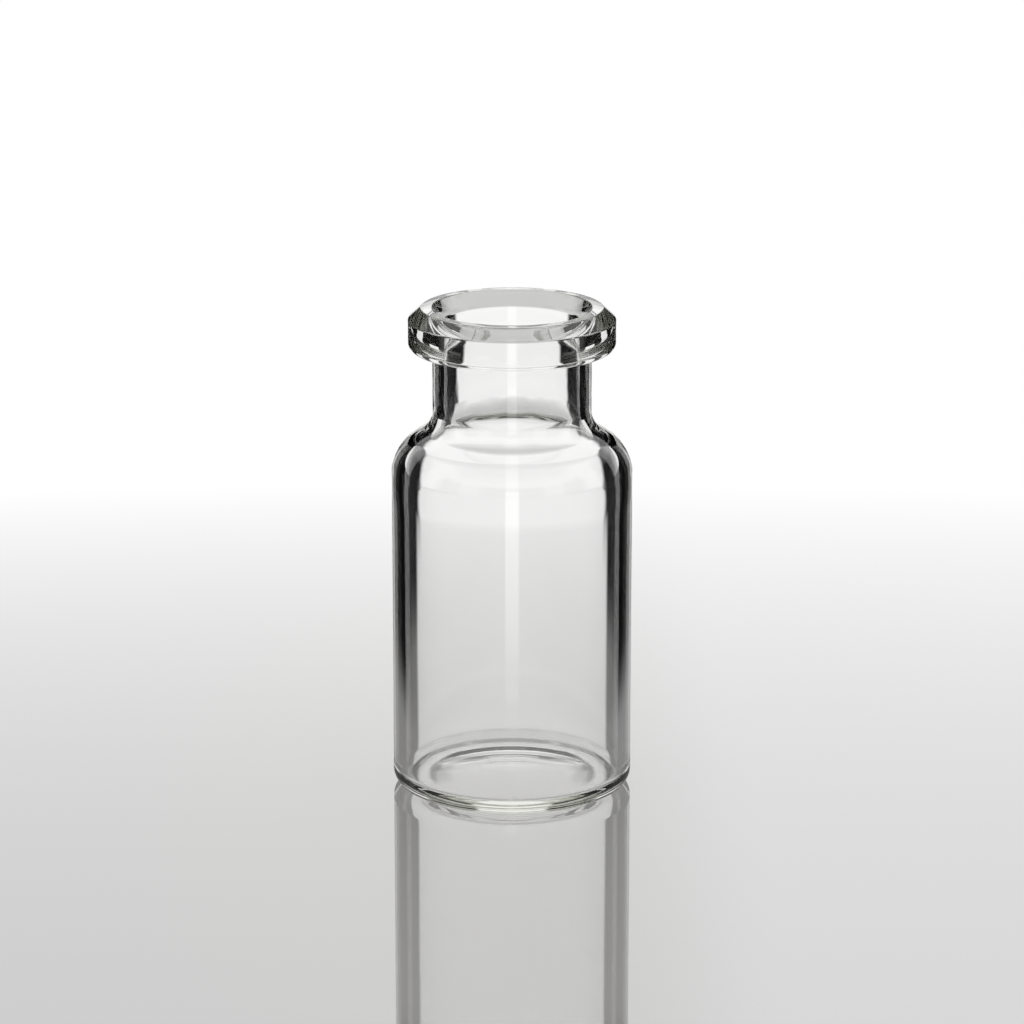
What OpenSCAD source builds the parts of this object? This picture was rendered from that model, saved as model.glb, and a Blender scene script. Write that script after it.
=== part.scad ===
// Glass sample vial with a bevelled crimp flange.
// The vial is one piece of tube glass: a straight body, a sloping shoulder,
// a narrow neck and a thick flange. Its axis is Z and it stands on Z = 0.

/* [Body] */
// Outside diameter of the straight body
body_od = 22.5; // [20:0.1:30]
// Height from the bench to the top of the mouth
total_h = 46; // [38:0.5:80]
// Glass thickness of the body wall
wall = 1.2; // [0.9:0.05:1.6]

/* [Base] */
// Radius of the outside corner at the foot of the body
heel_r = 1.45; // [1:0.05:2.2]
// Width of the flat ring that the vial stands on
foot_w = 1.8; // [0.5:0.1:2]
// Height of the shallow hollow under the base
push_up = 0.4; // [0.2:0.1:1]
// Glass thickness of the base at its middle
base_t = 0.95; // [0.7:0.05:2.5]
// Height that the inside floor rises towards its middle
floor_rise = 0.15; // [0.05:0.05:0.3]
// Radius inside the body, where the wall meets the base
inner_heel_r = 0.7; // [0.3:0.1:2]

/* [Shoulder] */
// Height of the slope from the body up to the neck
shoulder_h = 2.65; // [2:0.05:4]
// Glass thickness of the slope
shoulder_t = 1; // [0.9:0.05:1.5]
// Outside radius where the body turns into the shoulder
shoulder_r = 3.7; // [2:0.1:4]
// Inside radius where the body turns into the shoulder
inner_shoulder_r = 3.3; // [1:0.1:3.6]
// Outside radius where the shoulder turns up into the neck
neck_fillet = 2.1; // [1:0.1:3]
// Inside radius where the shoulder turns up into the neck
inner_neck_r = 3.4; // [2:0.1:4.5]

/* [Neck and mouth] */
// Outside diameter of the neck
neck_od = 14.8; // [14.4:0.1:16.5]
// Straight length of the neck below the flange
neck_l = 7; // [5:0.1:12]
// Diameter of the bore through the neck
bore_d = 12.6; // [11.6:0.1:12.8]
// Depth of the chamfer that opens the mouth
mouth_h = 1.15; // [0.6:0.05:1.5]
// Width of that chamfer, seen from above
mouth_w = 1.15; // [0.6:0.05:1.3]
// Radius where the chamfer runs down into the bore
mouth_r = 0.8; // [0.3:0.1:1.2]

/* [Flange] */
// Outside diameter of the flange that a crimp cap grips
flange_od = 19.3; // [18.8:0.1:20]
// Height of the flange
flange_h = 4; // [3.2:0.1:4.6]
// Height of the bevel around the top of the flange
bevel_h = 1.1; // [0.6:0.1:1.5]
// Width of the bevel, seen from above
bevel_w = 1.2; // [0.6:0.1:1.3]
// Radius of the flange's lower edge
skirt_r = 0.8; // [0.3:0.1:1]
// Radius in the corner below the flange
collar_r = 0.5; // [0.3:0.1:0.8]
// Radius of the fire-polished edges at the top of the flange
polish_r = 0.25; // [0.1:0.05:0.3]

/* [Hidden] */
$fn = 180;

body_r = body_od / 2;
neck_r = neck_od / 2;
bore_r = bore_d / 2;
flange_r = flange_od / 2;
inner_r = body_r - wall;

flange_z = total_h - flange_h;
neck_z = flange_z - neck_l;
shoulder_z = neck_z - shoulder_h;
floor_z = push_up + base_t - floor_rise;

// Height of the shoulder's inside face at radius r: the outside slope,
// lowered so that the glass is shoulder_t thick.
slope = shoulder_h / (body_r - neck_r);
function inside_slope_z(r) =
    shoulder_z + slope * (body_r - r) - shoulder_t * sqrt(1 + slope * slope);

// The hollow under the base is a shallow cap of a ball that ends at the foot ring.
hollow_r = body_r - heel_r - foot_w;
ball_r = (hollow_r * hollow_r + push_up * push_up) / (2 * push_up);

// The inside floor is a still shallower cap, which ends just short of the wall.
floor_r = inner_r - inner_heel_r - 0.1;
floor_ball_r = (floor_r * floor_r + floor_rise * floor_rise) / (2 * floor_rise);

// Corners of the outside and of the cavity as [radius, height, rounding],
// from the axis outwards and then up. The cavity flares out at the mouth and
// leaves the glass through the top.
outside = [
    [0, 0, 0],
    [body_r, 0, heel_r],
    [body_r, shoulder_z, shoulder_r],
    [neck_r, neck_z, neck_fillet],
    [neck_r, flange_z, collar_r],
    [flange_r, flange_z, skirt_r],
    [flange_r, total_h - bevel_h, polish_r],
    [flange_r - bevel_w, total_h, polish_r],
    [0, total_h, 0]
];
cavity = [
    [0, floor_z, 0],
    [inner_r, floor_z, inner_heel_r],
    [inner_r, inside_slope_z(inner_r), inner_shoulder_r],
    [bore_r, inside_slope_z(bore_r), inner_neck_r],
    [bore_r, total_h - mouth_h, mouth_r],
    [bore_r + mouth_w, total_h, polish_r],
    [bore_r + mouth_w + 2 * polish_r, total_h, 0],
    [bore_r + mouth_w + 2 * polish_r, total_h + 1, 0],
    [0, total_h + 1, 0]
];

// ---- Rounded sections -------------------------------------------------------

// Each rounding is a true circle, a hair larger than asked, so that it crosses
// the straight stretches beside it.
hair = 0.0005;

function unit(v) = v / norm(v);
function cross_z(u, v) = u[0] * v[1] - u[1] * v[0];
function place(corner) = [corner[0], corner[1]];

// The rounding of corner i: [where it starts, where it ends, its centre].
function rounding(corners, i) =
    let (
        n = len(corners),
        at = place(corners[i]),
        u = unit(place(corners[(i + n - 1) % n]) - at),
        v = unit(place(corners[(i + 1) % n]) - at),
        half = acos(u * v) / 2,
        r = corners[i][2]
    )
    [at + u * r / tan(half), at + v * r / tan(half), at + unit(u + v) * r / sin(half)];

// Does the outline turn left at corner i, so that the section bulges there?
function is_outer(corners, i) =
    let (n = len(corners), at = place(corners[i]))
    cross_z(at - place(corners[(i + n - 1) % n]), place(corners[(i + 1) % n]) - at) > 0;

module rounding_circles(corners, outer) {
    for (i = [0:len(corners) - 1])
        if (corners[i][2] > 0 && is_outer(corners, i) == outer)
            translate(rounding(corners, i)[2]) circle(corners[i][2] + hair);
}

// A section with rounded corners: each corner is cut straight across, then a
// circle fills an outer corner out or hollows an inner one.
module rounded_section(corners) {
    difference() {
        union() {
            polygon([
                for (i = [0:len(corners) - 1])
                    let (bend = rounding(corners, i))
                    each corners[i][2] > 0 ? [bend[0], bend[1]] : [place(corners[i])]
            ]);
            rounding_circles(corners, outer = true);
        }
        rounding_circles(corners, outer = false);
    }
}

// ---- Vial -------------------------------------------------------------------

// The shallow hollow under the base.
module hollow_section() {
    intersection() {
        translate([0, push_up - ball_r]) circle(ball_r);
        translate([0, -1]) square([body_r, 1 + push_up]);
    }
}

// The gentle rise of the inside floor.
module floor_section() {
    intersection() {
        translate([0, floor_z + floor_rise - floor_ball_r]) circle(floor_ball_r);
        translate([0, floor_z - 0.2]) square([floor_r, 0.2 + 2 * floor_rise]);
    }
}

module vial() {
    color([0.86, 0.9, 0.88, 0.35])
        rotate_extrude()
            difference() {
                rounded_section(outside);
                difference() {
                    rounded_section(cavity);
                    floor_section();
                }
                hollow_section();
            }
}

vial();
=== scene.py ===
"""Clear glass sample vial standing on a glossy pale bench.

The vial is one piece of tube glass: body, shoulder, neck and crimp flange. Its
section is drawn corner by corner, rounded, and spun round the Z axis. Everything
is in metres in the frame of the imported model.
"""
import logging
import math
from dataclasses import dataclass, field
from enum import Enum
from typing import Any, Callable, Iterable, Mapping, Sequence

import bpy
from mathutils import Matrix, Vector


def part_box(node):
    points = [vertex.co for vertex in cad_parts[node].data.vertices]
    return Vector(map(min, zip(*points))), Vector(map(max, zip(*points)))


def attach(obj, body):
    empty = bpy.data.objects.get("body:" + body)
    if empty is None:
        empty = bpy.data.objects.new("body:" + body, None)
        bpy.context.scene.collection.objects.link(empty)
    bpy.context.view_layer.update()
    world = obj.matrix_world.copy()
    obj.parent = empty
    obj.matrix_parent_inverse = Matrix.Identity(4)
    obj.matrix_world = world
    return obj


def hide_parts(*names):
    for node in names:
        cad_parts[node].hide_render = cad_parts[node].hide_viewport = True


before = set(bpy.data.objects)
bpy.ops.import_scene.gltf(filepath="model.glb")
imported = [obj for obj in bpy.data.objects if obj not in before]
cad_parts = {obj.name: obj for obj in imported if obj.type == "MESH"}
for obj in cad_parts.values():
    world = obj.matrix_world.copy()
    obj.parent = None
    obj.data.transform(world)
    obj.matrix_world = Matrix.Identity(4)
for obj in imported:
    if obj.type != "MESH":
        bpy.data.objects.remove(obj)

MM = 0.001
# The strength at which the background shows as white, to the camera and in glass.
WHITE = 1.0

log = logging.getLogger("vial")

Colour = tuple[float, float, float]


# ---- Shader maths -----------------------------------------------------------


class Wire:
    """A value socket of a node tree, on which shader maths is written plainly."""

    def __init__(self, sheet: "Sheet", socket: bpy.types.NodeSocket) -> None:
        """Wraps a socket.

        Args:
            sheet: The sheet of nodes that the socket is on.
            socket: The output socket.
        """
        self.sheet = sheet
        self.socket = socket

    def _math(self, operation: str, *values: Any) -> "Wire":
        """Adds one Math node.

        Args:
            operation: The Math node's operation.
            values: Its inputs, as wires or numbers.

        Returns:
            The node's result.
        """
        return self.sheet.add("ShaderNodeMath", {"operation": operation}, dict(enumerate(values)))[0]

    def __add__(self, other: Any) -> "Wire":
        """This value plus another."""
        return self._math("ADD", self, other)

    def __radd__(self, other: Any) -> "Wire":
        """Another value plus this one."""
        return self._math("ADD", other, self)

    def __sub__(self, other: Any) -> "Wire":
        """This value less another."""
        return self._math("SUBTRACT", self, other)

    def __rsub__(self, other: Any) -> "Wire":
        """Another value less this one."""
        return self._math("SUBTRACT", other, self)

    def __mul__(self, other: Any) -> "Wire":
        """This value times another."""
        return self._math("MULTIPLY", self, other)

    def __rmul__(self, other: Any) -> "Wire":
        """Another value times this one."""
        return self._math("MULTIPLY", other, self)

    def __truediv__(self, other: Any) -> "Wire":
        """This value divided by another."""
        return self._math("DIVIDE", self, other)

    def __rtruediv__(self, other: Any) -> "Wire":
        """Another value divided by this one."""
        return self._math("DIVIDE", other, self)

    def __abs__(self) -> "Wire":
        """This value without its sign."""
        return self._math("ABSOLUTE", self)

    def at_least(self, other: Any) -> "Wire":
        """The greater of this value and another."""
        return self._math("MAXIMUM", self, other)

    def at_most(self, other: Any) -> "Wire":
        """The smaller of this value and another."""
        return self._math("MINIMUM", self, other)

    def exp(self) -> "Wire":
        """e to the power of this value."""
        return self._math("EXPONENT", self)

    def arc_sine(self) -> "Wire":
        """The angle whose sine is this value, in degrees."""
        return self._math("ARCSINE", self) * (180 / math.pi)

    def bearing_from(self, other: "Wire") -> "Wire":
        """The angle of this value across another along, in degrees."""
        return self._math("ARCTAN2", self, other) * (180 / math.pi)

    def root(self) -> "Wire":
        """The square root of this value."""
        return self._math("SQRT", self)

    def fraction(self) -> "Wire":
        """What is left above the next whole number down."""
        return self._math("FRACT", self)

    def over(self, limit: int) -> "Wire":
        """1 where this whole count is above a limit, and 0 elsewhere."""
        return self.rise(limit + 0.2, limit + 0.8)

    def rise(self, start: float, end: float) -> "Wire":
        """A smooth step from 0 at start to 1 at end.

        Args:
            start: The value at which the result is 0.
            end: The value at which the result is 1.

        Returns:
            The step.
        """
        return self.sheet.add(
            "ShaderNodeMapRange",
            {"interpolation_type": "SMOOTHSTEP"},
            {"Value": self, "From Min": start, "From Max": end},
        )[0]


class Sheet:
    """The node sheet of one material or world."""

    def __init__(self, owner: bpy.types.ID) -> None:
        """Opens an owner's node sheet and empties it.

        Args:
            owner: The material or world.
        """
        owner.use_nodes = True
        self.tree: bpy.types.NodeTree = owner.node_tree
        self.tree.nodes.clear()

    def add(
        self,
        kind: str,
        settings: Mapping[str, Any] | None = None,
        sockets: Mapping[Any, Any] | None = None,
    ) -> "Ports":
        """Adds a node.

        Args:
            kind: The node's type.
            settings: Its settings, which are set first.
            sockets: Values or wires for its inputs, by name or number.

        Returns:
            Its outputs.
        """
        node = self.tree.nodes.new(kind)
        for name, value in (settings or {}).items():
            setattr(node, name, value)
        for key, value in (sockets or {}).items():
            if isinstance(value, Wire):
                self.tree.links.new(value.socket, node.inputs[key])
            elif isinstance(value, tuple) and len(value) == 3 and node.inputs[key].type == "RGBA":
                node.inputs[key].default_value = (*value, 1.0)
            else:
                node.inputs[key].default_value = value
        return Ports(self, node)

    def blend(self, share: Any, first: Wire, second: Wire) -> Wire:
        """Mixes two shaders.

        Args:
            share: How much of the second shows, from 0 to 1.
            first: The shader at 0.
            second: The shader at 1.

        Returns:
            The mixed shader.
        """
        return self.add("ShaderNodeMixShader", {}, {0: share, 1: first, 2: second})[0]

    def mix(self, share: Any, first: Wire | Colour, second: Wire | Colour) -> Wire:
        """Mixes two colours.

        Args:
            share: How much of the second shows, from 0 to 1.
            first: The colour at 0.
            second: The colour at 1.

        Returns:
            The mixed colour.
        """
        return self.add("ShaderNodeMix", {"data_type": "RGBA"}, {0: share, 6: first, 7: second})[2]

    def place(self) -> tuple[Wire, Wire, Wire]:
        """Adds Object coordinates.

        Returns:
            The coordinates as three wires, in metres.
        """
        spot = self.add("ShaderNodeTexCoord")["Object"]
        apart = self.add("ShaderNodeSeparateXYZ", {}, {0: spot})
        return apart["X"], apart["Y"], apart["Z"]


class Ports:
    """The outputs of one node, by name or number."""

    def __init__(self, sheet: Sheet, node: bpy.types.Node) -> None:
        """Holds a node.

        Args:
            sheet: The sheet that the node is on.
            node: The node.
        """
        self.sheet = sheet
        self.node = node

    def __getitem__(self, key: int | str) -> Wire:
        """One output as a wire."""
        return Wire(self.sheet, self.node.outputs[key])


# ---- Finishes ---------------------------------------------------------------


@dataclass(frozen=True)
class ClearGlass:
    """Clear borosilicate glass, worked in a flame."""

    ior: float = 1.473
    tint: Colour = (0.73, 0.735, 0.64)
    tint_density: float = 20.0
    ripple_scale: float = 260.0
    ripple_stretch: float = 0.3
    ripple_height: float = 0.004 * MM
    scuff_roughness: float = 0.22
    scuff_edge: float = 0.3 * MM
    scuff_from: float = 0.08 * MM
    scuff_full: float = 0.02 * MM
    grain_scale: float = 2200.0
    grain_from: float = 0.45
    grain_full: float = 0.7

    def make(self, foot_inner: float, foot_outer: float) -> bpy.types.Material:
        """Builds the glass.

        Args:
            foot_inner: Inner radius of the ring that the vial stands on.
            foot_outer: Outer radius of that ring.

        Returns:
            The material.
        """
        material = bpy.data.materials.new("clear_glass")
        sheet = Sheet(material)
        x, y, z = sheet.place()
        radius = (x * x + y * y).root()
        spot = sheet.add("ShaderNodeTexCoord")["Object"]
        grain = sheet.add("ShaderNodeTexNoise", {}, {"Vector": spot, "Scale": self.grain_scale, "Detail": 3.0})[0]
        inside_ring = radius.rise(foot_inner, foot_inner + self.scuff_edge)
        on_ring = inside_ring * (1 - radius.rise(foot_outer - self.scuff_edge, foot_outer))
        at_foot = 1 - z.rise(self.scuff_full, self.scuff_from)
        scuff = on_ring * at_foot * grain.rise(self.grain_from, self.grain_full) * self.scuff_roughness
        drawn = sheet.add("ShaderNodeMapping", {}, {0: spot, "Scale": (1.0, 1.0, self.ripple_stretch)})[0]
        ripple = sheet.add(
            "ShaderNodeTexNoise", {}, {"Vector": drawn, "Scale": self.ripple_scale, "Detail": 2.0, "Roughness": 0.4}
        )[0]
        normal = sheet.add(
            "ShaderNodeBump", {}, {"Strength": 1.0, "Distance": self.ripple_height, "Height": ripple}
        )[0]
        surface = sheet.add(
            "ShaderNodeBsdfPrincipled",
            {},
            {
                "Base Color": (1.0, 1.0, 1.0),
                "Roughness": scuff,
                "IOR": self.ior,
                "Transmission Weight": 1.0,
                "Normal": normal,
            },
        )[0]
        inside = sheet.add("ShaderNodeVolumeAbsorption", {}, {"Color": self.tint, "Density": self.tint_density})[0]
        sheet.add("ShaderNodeOutputMaterial", {}, {"Surface": surface, "Volume": inside})
        return material


@dataclass(frozen=True)
class BenchTop:
    """Glossy pale bench, whose sheen grows towards a grazing view. Under the sheen its colour is painted light: a
    soft painted pool of light round the vial, painted black outside it, and shown mostly as the bench's own glow.
    """

    left: Colour = (0.420, 0.416, 0.409)
    right: Colour = (0.490, 0.491, 0.492)
    step_from: float = 8 * MM
    step_to: float = 24 * MM
    step_gain: float = 0.19
    # Share of the bench's colour that is painted light, emitted as its own glow rather than lit.
    own_light: float = 0.85
    # Size and edge of the painted pool of light round the vial.
    pool_half_width: float = 33 * MM
    pool_half_depth: float = 80 * MM
    pool_softness: float = 0.27
    tone_far: float = 1.0
    tone_near: float = 0.591
    tone_sine: float = 0.2615
    tone_fall: float = 0.042
    roughness: float = 0.02

    def make(self) -> bpy.types.Material:
        """Builds the bench's material.

        Returns:
            The material.
        """
        material = bpy.data.materials.new("bench")
        sheet = Sheet(material)
        x, y, _ = sheet.place()
        side = x.rise(self.step_from, self.step_to)
        sine = 1 - sheet.add("ShaderNodeLayerWeight", {}, {"Blend": 0.5})["Facing"]
        falling = ((self.tone_sine - sine) / self.tone_fall).exp()
        tone = self.tone_near + (self.tone_far - self.tone_near) * falling
        tone = tone + side * self.step_gain * (1 - tone)
        # Painted pool of light: the bench's colour shows only inside this soft ellipse round the vial and is painted
        # black beyond it.
        reach = ((x / self.pool_half_width) * (x / self.pool_half_width)
                 + (y / self.pool_half_depth) * (y / self.pool_half_depth)).root()
        painted_light_pool = 1 - reach.rise(1 - self.pool_softness, 1 + self.pool_softness)
        # Brightness of the painted pool of light; the mirror share below makes up the rest of the tone.
        body = painted_light_pool * (sum(self.left) + side * (sum(self.right) - sum(self.left))) / 3
        mirror = ((tone - body) / (WHITE - body)).at_least(0.0).at_most(1.0)
        paint = sheet.mix(side, self.left, self.right)
        # The bench's paint inside the painted pool of light, and black outside it.
        painted_pool_colour = sheet.mix(painted_light_pool, (0.0, 0.0, 0.0), paint)
        matt = sheet.add("ShaderNodeBsdfDiffuse", {}, {"Color": painted_pool_colour})[0]
        # Painted light: most of the bench's colour is emitted as its own glow, not lit. Only the small matt share
        # takes the lamp's light and the vial's shadow.
        glow = sheet.add("ShaderNodeEmission", {}, {"Color": painted_pool_colour, "Strength": 1.0})[0]
        gloss = sheet.add("ShaderNodeBsdfAnisotropic", {}, {"Color": (1.0, 1.0, 1.0), "Roughness": self.roughness})[0]
        surface = sheet.blend(mirror, sheet.blend(self.own_light, matt, glow), gloss)
        sheet.add("ShaderNodeOutputMaterial", {}, {"Surface": surface})
        return material


# ---- The vial ---------------------------------------------------------------


@dataclass(frozen=True)
class Corner:
    """A corner of the vial's section, in millimetres."""

    radius: float
    height: float
    rounding: float = 0.0

    @property
    def spot(self) -> Vector:
        """The corner's place in the XZ plane, in metres."""
        return Vector((self.radius * MM, 0.0, self.height * MM))


@dataclass
class GlassVial:
    """The whole vial, as one closed skin of glass. Sizes are in millimetres."""

    body_radius: float
    total_height: float
    wall: float = 1.2
    heel_radius: float = 1.45
    foot_width: float = 1.8
    push_up: float = 0.4
    base_thickness: float = 0.95
    inner_heel: float = 0.7
    floor_rise: float = 0.15
    floor_margin: float = 0.1
    shoulder_height: float = 2.65
    shoulder_thickness: float = 1.0
    shoulder_radius: float = 3.7
    inner_shoulder: float = 3.3
    neck_fillet: float = 2.1
    inner_neck: float = 3.4
    neck_radius: float = 7.4
    neck_length: float = 7.0
    bore_radius: float = 6.3
    mouth_depth: float = 1.15
    mouth_width: float = 1.15
    mouth_bend: float = 0.8
    flange_radius: float = 9.65
    flange_height: float = 4.0
    bevel_height: float = 1.1
    bevel_width: float = 1.2
    skirt_radius: float = 0.8
    collar_radius: float = 0.5
    polish_radius: float = 0.25
    drawn_in: float = 0.11
    drawn_length: float = 5.0
    drawn_bend: float = 1.1
    drawn_slack: float = 0.05
    wave_size: float = 1.8
    wave_height: float = 0.024
    flame_below_neck: float = 1.2
    flame_neck_fade: float = 1.5
    flame_below_flange: float = 0.6
    flame_flange_fade: float = 0.8
    flame_inside_body: float = 0.1
    flame_body_fade: float = 0.6
    around: int = 240
    longest_step: float = 0.8
    arc_step: float = 4.0
    arc_fewest: int = 6
    curve_steps: int = 10
    corner_slack: float = 0.001
    weld: float = 0.0005
    finish: ClearGlass = field(default_factory=ClearGlass)

    @property
    def foot_inner(self) -> float:
        """Inner radius of the ring that the vial stands on."""
        return self.body_radius - self.heel_radius - self.foot_width

    @property
    def floor_height(self) -> float:
        """Height of the inside floor."""
        return self.push_up + self.base_thickness - self.floor_rise

    def inside_slope(self, radius: float) -> float:
        """Height of the shoulder's inside face.

        Args:
            radius: Distance from the axis.

        Returns:
            The height there.
        """
        slope = self.shoulder_height / (self.body_radius - self.neck_radius)
        shoulder = self.total_height - self.flange_height - self.neck_length - self.shoulder_height
        return shoulder + slope * (self.body_radius - radius) - self.shoulder_thickness * math.hypot(1, slope)

    def corners(self) -> list[Corner]:
        """The section's corners.

        Returns:
            The corners from the middle of the underside, up the outside, and down
            the inside to the middle of the floor.
        """
        flange = self.total_height - self.flange_height
        neck = flange - self.neck_length
        shoulder = neck - self.shoulder_height
        inner = self.body_radius - self.wall
        ball = (self.foot_inner**2 + self.push_up**2) / (2 * self.push_up)
        hollow = [
            Corner(r, self.push_up - ball + math.sqrt(ball**2 - r**2))
            for r in (self.foot_inner * step / self.curve_steps for step in range(self.curve_steps + 1))
        ]
        outside = [
            Corner(self.body_radius, 0.0, self.heel_radius),
            Corner(self.body_radius, shoulder, self.shoulder_radius),
            Corner(self.neck_radius, neck, self.neck_fillet),
            Corner(self.neck_radius, flange, self.collar_radius),
            Corner(self.flange_radius, flange, self.skirt_radius),
            Corner(self.flange_radius, self.total_height - self.bevel_height, self.polish_radius),
            Corner(self.flange_radius - self.bevel_width, self.total_height, self.polish_radius),
        ]
        inside = [
            Corner(self.bore_radius + self.mouth_width, self.total_height, self.polish_radius),
            Corner(self.bore_radius, self.total_height - self.mouth_depth, self.mouth_bend),
            Corner(self.bore_radius, self.inside_slope(self.bore_radius), self.inner_neck),
            Corner(inner, self.inside_slope(inner), self.inner_shoulder),
            Corner(inner, self.floor_height, self.inner_heel),
        ]
        flat = inner - self.inner_heel - self.floor_margin
        bulge = (flat**2 + self.floor_rise**2) / (2 * self.floor_rise)
        floor = [
            Corner(r, self.floor_height + self.floor_rise - bulge + math.sqrt(bulge**2 - r**2))
            for r in (flat * step / self.curve_steps for step in reversed(range(self.curve_steps)))
        ]
        return hollow + outside + inside + floor

    def draw_section(self, corners: Sequence[Corner]) -> bpy.types.Object:
        """Draws the section's sharp outline as one run of edges.

        Args:
            corners: The section's corners.

        Returns:
            The section, open for editing.
        """
        bpy.ops.object.select_all(action="DESELECT")
        bpy.ops.mesh.primitive_plane_add(size=2 * MM, location=(0.0, 0.0, 0.0))
        section = bpy.context.object
        section.name = section.data.name = "vial_glass"
        bpy.ops.object.mode_set(mode="EDIT")
        bpy.ops.mesh.merge(type="CENTER")
        bpy.ops.transform.translate(value=corners[0].spot)
        for start, end in zip(corners, corners[1:]):
            bpy.ops.mesh.extrude_region_move(TRANSFORM_OT_translate={"value": end.spot - start.spot})
        return section

    def round_corners(self, section: bpy.types.Object, corners: Sequence[Corner]) -> None:
        """Bevels each rounded corner of the section into an arc.

        Args:
            section: The section, open for editing.
            corners: Its corners.
        """
        for before, corner, after in zip(corners, corners[1:], corners[2:]):
            if not corner.rounding:
                continue
            back = (before.spot - corner.spot).normalized()
            ahead = (after.spot - corner.spot).normalized()
            opening = math.acos(back.dot(ahead))
            turn = math.degrees(math.pi - opening)
            pick(section, "VERT", lambda v: (v.co - corner.spot).length < self.corner_slack * MM)
            bpy.ops.mesh.bevel(
                affect="VERTICES",
                offset_type="OFFSET",
                offset=corner.rounding * MM / math.tan(opening / 2),
                segments=max(self.arc_fewest, round(turn / self.arc_step)),
                profile=0.5,
                clamp_overlap=False,
            )

    def step_long_edges(self, section: bpy.types.Object) -> None:
        """Divides the section's long straight edges into short steps.

        Args:
            section: The section, open for editing.
        """
        longest = self.longest_step * MM

        def too_long(edge: bpy.types.MeshEdge) -> bool:
            """Is this edge longer than a step?"""
            ends = [section.data.vertices[i].co for i in edge.vertices]
            return (ends[0] - ends[1]).length > longest

        while pick(section, "EDGE", too_long):
            bpy.ops.mesh.subdivide(number_cuts=1)

    def thicken_shoulder(self, section: bpy.types.Object) -> None:
        """Lets the wall thicken gently towards the shoulder, as drawn glass does.

        Args:
            section: The section, open for editing.
        """
        inner = self.body_radius - self.wall
        bend = self.inside_slope(inner)

        def on_bend(vertex: bpy.types.MeshVertex) -> bool:
            """Is this vertex on the inside bend of the shoulder?"""
            inside = vertex.co.x < (inner + self.drawn_slack) * MM
            return inside and bend * MM < vertex.co.z < (bend + self.drawn_bend) * MM

        pick(section, "VERT", on_bend)
        bpy.ops.transform.translate(
            value=(-self.drawn_in * MM, 0.0, 0.0),
            use_proportional_edit=True,
            use_proportional_connected=True,
            proportional_edit_falloff="SMOOTH",
            proportional_size=self.drawn_length * MM,
        )

    def spin(self, section: bpy.types.Object) -> None:
        """Turns the section into the closed skin of the glass.

        Args:
            section: The section, open for editing.
        """
        bpy.ops.object.mode_set(mode="OBJECT")
        bpy.context.view_layer.objects.active = section
        lathe = section.modifiers.new("lathe", "SCREW")
        lathe.axis = "Z"
        lathe.angle = 2 * math.pi
        lathe.steps = lathe.render_steps = self.around
        lathe.use_merge_vertices = True
        lathe.merge_threshold = self.weld * MM
        bpy.ops.object.modifier_apply(modifier=lathe.name)
        bpy.ops.object.mode_set(mode="EDIT")
        bpy.ops.mesh.select_mode(type="VERT")
        bpy.ops.mesh.select_all(action="SELECT")
        bpy.ops.mesh.remove_doubles(threshold=self.weld * MM)
        bpy.ops.mesh.normals_make_consistent(inside=False)
        bpy.ops.object.mode_set(mode="OBJECT")
        bpy.ops.object.shade_smooth()

    def work_by_flame(self, glass: bpy.types.Object) -> None:
        """Gives the neck and shoulder the faint unevenness of glass shaped in a flame.

        Args:
            glass: The vial's glass.
        """
        flange = self.total_height - self.flange_height
        low = flange - self.neck_length - self.flame_below_neck
        high = flange - self.flame_below_flange
        group = glass.vertex_groups.new(name="worked")
        reach = self.body_radius - self.flame_inside_body
        for vertex in glass.data.vertices:
            height = vertex.co.z / MM
            radius = math.hypot(vertex.co.x, vertex.co.y) / MM
            weight = ramp(height - low, self.flame_neck_fade)
            weight *= ramp(reach - radius, self.flame_body_fade)
            weight *= ramp(high - height, self.flame_flange_fade)
            if weight > 0:
                group.add([vertex.index], weight, "REPLACE")
        waves = bpy.data.textures.new("flame_waves", "CLOUDS")
        waves.noise_scale = self.wave_size * MM
        waves.noise_depth = 1
        push = glass.modifiers.new("flame_waves", "DISPLACE")
        push.texture = waves
        push.texture_coords = "LOCAL"
        push.vertex_group = group.name
        push.mid_level = 0.5
        push.strength = self.wave_height * MM
        bpy.context.view_layer.objects.active = glass
        bpy.ops.object.modifier_apply(modifier=push.name)

    def build(self) -> bpy.types.Object:
        """Builds the vial and dresses it.

        Returns:
            The finished glass.
        """
        corners = self.corners()
        glass = self.draw_section(corners)
        self.round_corners(glass, corners)
        self.step_long_edges(glass)
        self.thicken_shoulder(glass)
        self.spin(glass)
        self.work_by_flame(glass)
        glass.data.materials.append(
            self.finish.make(self.foot_inner * MM, (self.foot_inner + self.foot_width) * MM)
        )
        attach(glass, "root")
        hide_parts("vial")
        return glass


def ramp(distance: float, length: float) -> float:
    """How far a distance reaches along a length, from 0 to 1."""
    return min(max(distance / length, 0.0), 1.0)


def pick(thing: bpy.types.Object, what: str, wanted: Callable[[Any], bool]) -> int:
    """Selects elements of a mesh that is open for editing.

    Args:
        thing: The object in edit mode.
        what: "VERT", "EDGE" or "FACE".
        wanted: Says whether an element is selected.

    Returns:
        How many elements were selected.
    """
    bpy.ops.mesh.select_mode(type=what)
    bpy.ops.mesh.select_all(action="DESELECT")
    bpy.ops.object.mode_set(mode="OBJECT")
    mesh = thing.data
    elements = {"VERT": mesh.vertices, "EDGE": mesh.edges, "FACE": mesh.polygons}[what]
    count = 0
    for element in elements:
        if wanted(element):
            element.select = True
            count += 1
    bpy.ops.object.mode_set(mode="EDIT")
    return count


# ---- The studio -------------------------------------------------------------


class Shown(Enum):
    """Which rays a panel shows itself to."""

    ALWAYS = "always"
    UNMIRRORED = "only before the bench has mirrored the ray"


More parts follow.
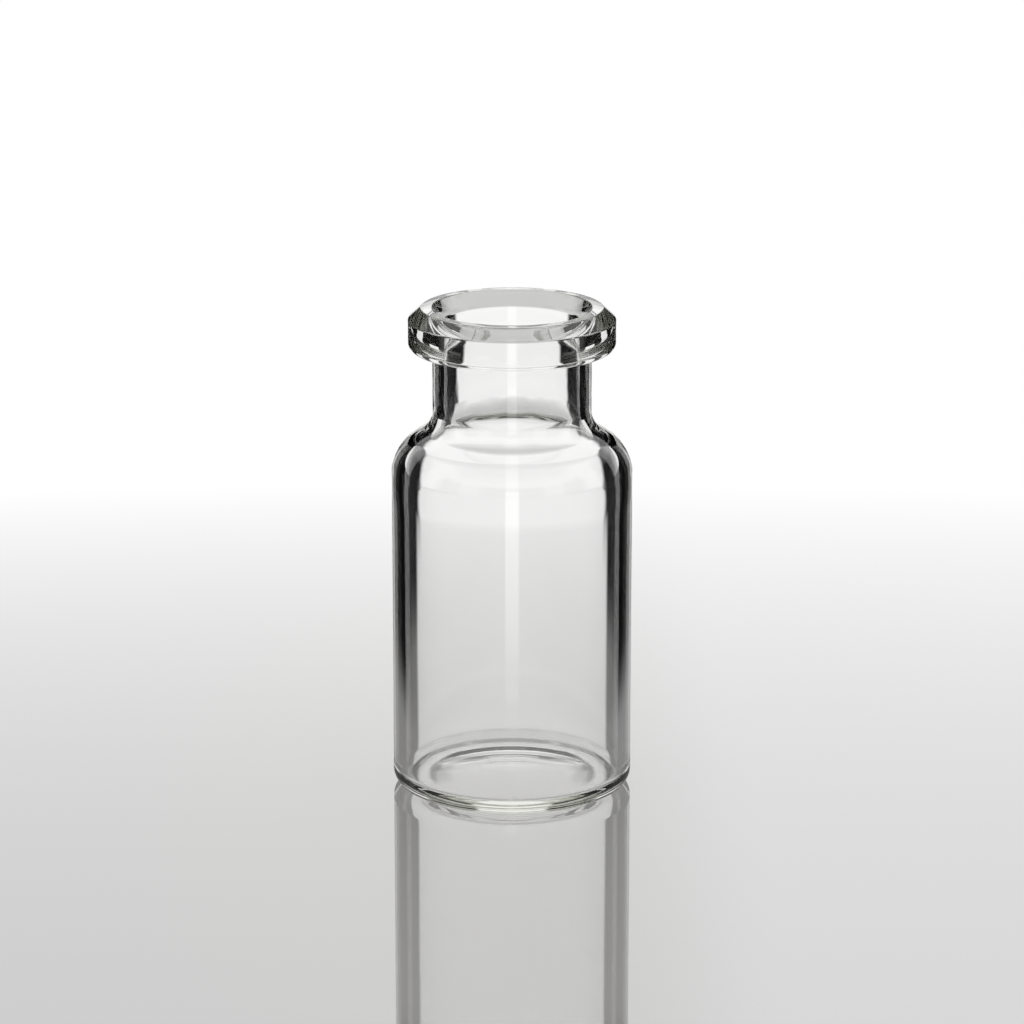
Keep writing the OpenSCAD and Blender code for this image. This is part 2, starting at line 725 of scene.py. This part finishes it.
@dataclass(frozen=True)
class Panel:
    """A tall white panel, mirrored below the horizon, that the glass shows. Angles are in degrees."""

    bearing: float
    half_width: float
    softness: float = 1.0
    lowest: float = 0.0
    highest: float = 60.0
    shown: Shown = Shown.ALWAYS

    def glow(self, bearing: Wire, rise: Wire, unmirrored: Wire) -> Wire:
        """How brightly the panel shows in a direction.

        Args:
            bearing: The direction's bearing, in degrees from straight behind.
            rise: Its angle from the horizon, in degrees.
            unmirrored: 1 for a ray that the bench hasn't mirrored.

        Returns:
            The panel's light.
        """
        turn = abs(((bearing - self.bearing) / 360 + 0.5).fraction() * 360 - 180)
        light = 1 - turn.rise(self.half_width - self.softness, self.half_width + self.softness)
        light = light * (1 - rise.rise(self.highest - self.softness, self.highest + self.softness))
        if self.lowest > 0:
            light = light * rise.rise(self.lowest - self.softness, self.lowest + self.softness)
        if self.shown is Shown.UNMIRRORED:
            light = light * unmirrored
        return light


@dataclass
class Studio:
    """Bench, panels, lamp and camera."""

    bench: BenchTop = field(default_factory=BenchTop)
    panels: tuple[Panel, ...] = (
        Panel(0.0, 11.3),
        Panel(0.0, 12.8, lowest=15.5),
        Panel(180.0, 7.0, highest=17.8),
        Panel(90.0, 11.0, shown=Shown.UNMIRRORED),
        Panel(-90.0, 11.0, shown=Shown.UNMIRRORED),
    )
    bench_sides: int = 96
    bench_radius: float = 3.0
    bench_gap: float = 0.02 * MM
    window_half_width: float = 11.3
    window_softness: float = 1.0
    ceiling: float = 0.9
    ceiling_from: float = 23.0
    ceiling_full: float = 30.0
    unlit: float = 0.004
    side_light: float = 0.04
    side_from: float = 52.0
    side_full: float = 66.0
    room_light: float = 0.8
    lamp_watts: float = 2.2
    lamp_height: float = 1.0
    lamp_size: float = 0.5
    bounces: int = 24
    lens: float = 150.66
    distance: float = 401.0 * MM
    tilt: float = 15.52
    aim_height: float = 26.35 * MM

    def lay_bench(self) -> bpy.types.Object:
        """Lays the bench just under the vial.

        Returns:
            The bench.
        """
        bpy.ops.object.select_all(action="DESELECT")
        bpy.ops.mesh.primitive_circle_add(
            vertices=self.bench_sides,
            radius=self.bench_radius,
            fill_type="NGON",
            location=(0.0, 0.0, -self.bench_gap),
        )
        top = bpy.context.object
        top.name = top.data.name = "bench"
        bpy.ops.object.transform_apply(location=True, rotation=True, scale=True)
        top.data.materials.append(self.bench.make())
        return top

    def room_glow(self, sheet: Sheet, rays: Ports) -> Wire:
        """The light that the glass shows in each direction.

        Args:
            sheet: The world's sheet.
            rays: Its Light Path node.

        Returns:
            The light.
        """
        apart = sheet.add("ShaderNodeSeparateXYZ", {}, {0: sheet.add("ShaderNodeTexCoord")["Generated"]})
        bearing = apart["X"].bearing_from(apart["Y"])
        rise = abs(apart["Z"].arc_sine())
        unmirrored = 1 - rays["Glossy Depth"].over(1)
        flank = (90 - abs(abs(bearing) - 90)).rise(self.side_from, self.side_full)
        light = rise.rise(self.ceiling_from, self.ceiling_full) * self.ceiling
        light = light.at_least(flank * self.side_light)
        for panel in self.panels:
            light = light.at_least(panel.glow(bearing, rise, unmirrored))
        off_window = abs((bearing / 90).fraction() - 0.5) * 90
        window = 1 - off_window.rise(
            self.window_half_width - self.window_softness, self.window_half_width + self.window_softness
        )
        clear_through = rays["Transmission Depth"].over(1) * unmirrored
        return light.at_least(window * clear_through) + self.unlit

    def light_room(self) -> None:
        """Sets the world: white to the camera, panels to the glass, plain light to the rest."""
        world = bpy.data.worlds.new("studio")
        bpy.context.scene.world = world
        sheet = Sheet(world)
        rays = sheet.add("ShaderNodeLightPath")

        def background(strength: Wire | float) -> Wire:
            """A white background of one strength."""
            return sheet.add("ShaderNodeBackground", {}, {"Color": (1.0, 1.0, 1.0), "Strength": strength})[0]

        off_bench = rays["Is Glossy Ray"] * (1 - rays["Is Singular Ray"])
        only_bench = (1 - rays["Glossy Depth"].over(1)) * (1 - rays["Transmission Depth"].over(0))
        seen = sheet.blend(off_bench * only_bench, background(self.room_glow(sheet, rays)), background(WHITE))
        seen = sheet.blend(rays["Is Diffuse Ray"], seen, background(self.room_light))
        seen = sheet.blend(rays["Is Camera Ray"], seen, background(WHITE))
        sheet.add("ShaderNodeOutputWorld", {}, {0: seen})

    def hang_lamp(self) -> bpy.types.Object:
        """Hangs one wide soft lamp over the bench.

        Returns:
            The lamp.
        """
        bpy.ops.object.light_add(type="AREA", location=(0.0, 0.0, self.lamp_height))
        lamp = bpy.context.object
        lamp.name = "overhead_lamp"
        lamp.data.energy = self.lamp_watts
        lamp.data.size = self.lamp_size
        lamp.visible_glossy = False
        lamp.visible_transmission = False
        return lamp

    def set_camera(self) -> bpy.types.Object:
        """Stands the camera in front of the vial, a little above it.

        Returns:
            The camera.
        """
        tilt = math.radians(self.tilt)
        ahead = Vector((0.0, math.cos(tilt), -math.sin(tilt)))
        aim = Vector((0.0, 0.0, self.aim_height))
        bpy.ops.object.camera_add(location=aim - ahead * self.distance)
        camera = bpy.context.object
        camera.rotation_mode = "QUATERNION"
        camera.rotation_quaternion = ahead.to_track_quat("-Z", "Y")
        camera.data.sensor_width = 36.0
        camera.data.lens = self.lens
        camera.data.clip_start = 0.01
        camera.data.clip_end = 100.0
        bpy.context.scene.camera = camera
        return camera

    def build(self) -> None:
        """Sets up the whole studio."""
        self.lay_bench()
        self.light_room()
        self.hang_lamp()
        self.set_camera()
        scene = bpy.context.scene
        scene.view_settings.view_transform = "Standard"
        scene.cycles.max_bounces = self.bounces
        scene.cycles.glossy_bounces = self.bounces
        scene.cycles.transmission_bounces = self.bounces


def report(pieces: Iterable[bpy.types.Object]) -> None:
    """Logs each piece's name and size.

    Args:
        pieces: The finished pieces.
    """
    for piece in pieces:
        faces = len(piece.data.polygons)
        log.info("%s: %d faces, %.1f x %.1f x %.1f mm", piece.name, faces, *(side / MM for side in piece.dimensions))


def main() -> None:
    """Builds the vial and its studio."""
    logging.basicConfig(level=logging.INFO, format="%(name)s: %(message)s")
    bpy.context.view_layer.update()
    low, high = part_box("vial")
    vial = GlassVial(body_radius=(high[0] - low[0]) / 2 / MM, total_height=high[2] / MM)
    pieces = [vial.build()]
    Studio().build()
    report(pieces)


if __name__ == "__main__":
    main()
